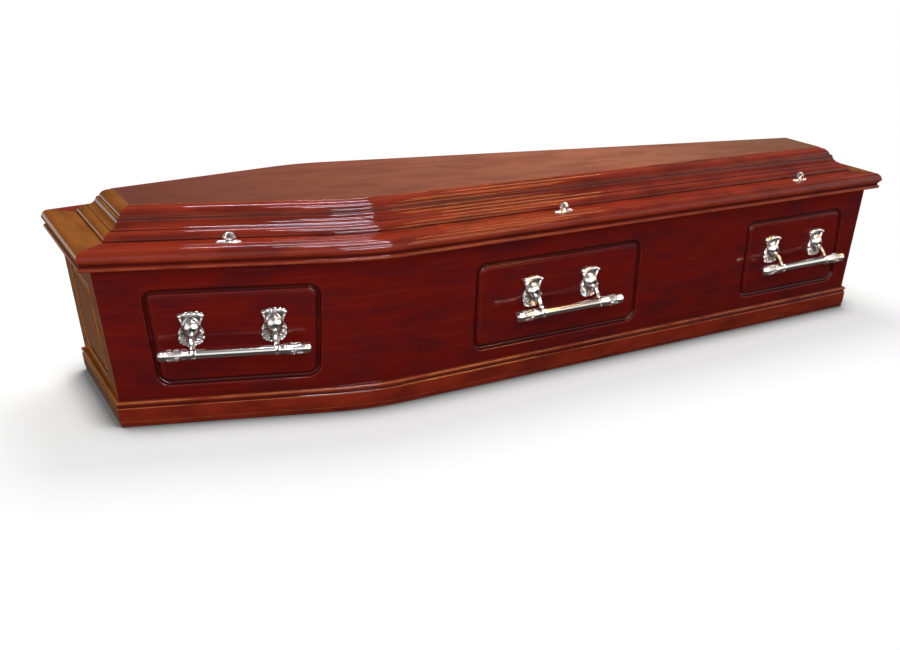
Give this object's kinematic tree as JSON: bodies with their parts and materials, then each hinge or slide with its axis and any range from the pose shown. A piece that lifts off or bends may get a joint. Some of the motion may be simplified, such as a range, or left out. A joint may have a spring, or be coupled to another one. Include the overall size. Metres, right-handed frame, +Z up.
{
  "type": "wooden coffin",
  "caption": "Closed six-sided wooden coffin with raised panels, a stepped and moulded lid, plinth moulding, swing-bar handles and thumb screws.",
  "frame": {"origin": "middle of the underside: halfway along the length and the width of the object's box, at the height of the surface it stands on", "axes": "+Z up, +X along the coffin from the head end to the foot end, +Y towards the coffin's left side"},
  "size_m": [2, 0.5708, 0.409],
  "materials": {
    "side_lacquer": "dark red mahogany stain under high gloss lacquer",
    "moulding_lacquer": "orange red stain under high gloss lacquer",
    "end_lacquer": "golden brown stain under high gloss lacquer",
    "top_lacquer": "red brown stain under high gloss lacquer",
    "silvered_metal": "polished, antiqued in the hollows"
  },
  "bodies": {
    "root": {"base_board": "side_lacquer", "head_panel": "end_lacquer", "foot_panel": "end_lacquer", "side_right": "side_lacquer", "side_left": "side_lacquer", "plinth_head": "end_lacquer", "plinth_foot": "end_lacquer", "plinth_right": "moulding_lacquer", "plinth_left": "moulding_lacquer", "lid_rim_head": "end_lacquer", "lid_rim_foot": "end_lacquer", "lid_rim_right": "moulding_lacquer", "lid_rim_left": "moulding_lacquer", "lid_moulding_head": "end_lacquer", "lid_moulding_foot": "end_lacquer", "lid_moulding_right": "moulding_lacquer", "lid_moulding_left": "moulding_lacquer", "lid_top": "top_lacquer", "escutcheon_right_head": "silvered_metal", "escutcheon_right_middle": "silvered_metal", "escutcheon_right_foot": "silvered_metal", "escutcheon_left_head": "silvered_metal", "escutcheon_left_middle": "silvered_metal", "escutcheon_left_foot": "silvered_metal", "thumb_screw_right_head": "silvered_metal", "thumb_screw_right_middle": "silvered_metal", "thumb_screw_right_foot": "silvered_metal", "thumb_screw_left_head": "silvered_metal", "thumb_screw_left_middle": "silvered_metal", "thumb_screw_left_foot": "silvered_metal", "back_plate_right_head_a": "silvered_metal", "back_plate_right_head_b": "silvered_metal", "back_plate_right_middle_a": "silvered_metal", "back_plate_right_middle_b": "silvered_metal", "back_plate_right_foot_a": "silvered_metal", "back_plate_right_foot_b": "silvered_metal", "back_plate_left_head_a": "silvered_metal", "back_plate_left_head_b": "silvered_metal", "back_plate_left_middle_a": "silvered_metal", "back_plate_left_middle_b": "silvered_metal", "back_plate_left_foot_a": "silvered_metal", "back_plate_left_foot_b": "silvered_metal"},
    "handle_right_head": {"bar_right_head": "silvered_metal", "arm_right_head_a": "silvered_metal", "arm_right_head_b": "silvered_metal"},
    "handle_right_middle": {"bar_right_middle": "silvered_metal", "arm_right_middle_a": "silvered_metal", "arm_right_middle_b": "silvered_metal"},
    "handle_right_foot": {"bar_right_foot": "silvered_metal", "arm_right_foot_a": "silvered_metal", "arm_right_foot_b": "silvered_metal"},
    "handle_left_head": {"bar_left_head": "silvered_metal", "arm_left_head_a": "silvered_metal", "arm_left_head_b": "silvered_metal"},
    "handle_left_middle": {"bar_left_middle": "silvered_metal", "arm_left_middle_a": "silvered_metal", "arm_left_middle_b": "silvered_metal"},
    "handle_left_foot": {"bar_left_foot": "silvered_metal", "arm_left_foot_a": "silvered_metal", "arm_left_foot_b": "silvered_metal"}
  },
  "joints": [
    {"name": "swing_right_head", "type": "hinge", "parent": "root", "child": "handle_right_head", "pos_m": [-0.72737, -0.21011, 0.183], "axis": [-0.9743, 0.2254, 0], "range_deg": [0, 65]},
    {"name": "swing_right_middle", "type": "hinge", "parent": "root", "child": "handle_right_middle", "pos_m": [0.00384, -0.23406, 0.183], "axis": [-0.9968, -0.0797, 0], "range_deg": [0, 65]},
    {"name": "swing_right_foot", "type": "hinge", "parent": "root", "child": "handle_right_foot", "pos_m": [0.73184, -0.17588, 0.183], "axis": [-0.9968, -0.0797, 0], "range_deg": [0, 65]},
    {"name": "swing_left_head", "type": "hinge", "parent": "root", "child": "handle_left_head", "pos_m": [-0.72737, 0.21011, 0.183], "axis": [0.9743, 0.2254, 0], "range_deg": [0, 65]},
    {"name": "swing_left_middle", "type": "hinge", "parent": "root", "child": "handle_left_middle", "pos_m": [0.00384, 0.23406, 0.183], "axis": [0.9968, -0.0797, 0], "range_deg": [0, 65]},
    {"name": "swing_left_foot", "type": "hinge", "parent": "root", "child": "handle_left_foot", "pos_m": [0.73184, 0.17588, 0.183], "axis": [0.9968, -0.0797, 0], "range_deg": [0, 65]}
  ]
}
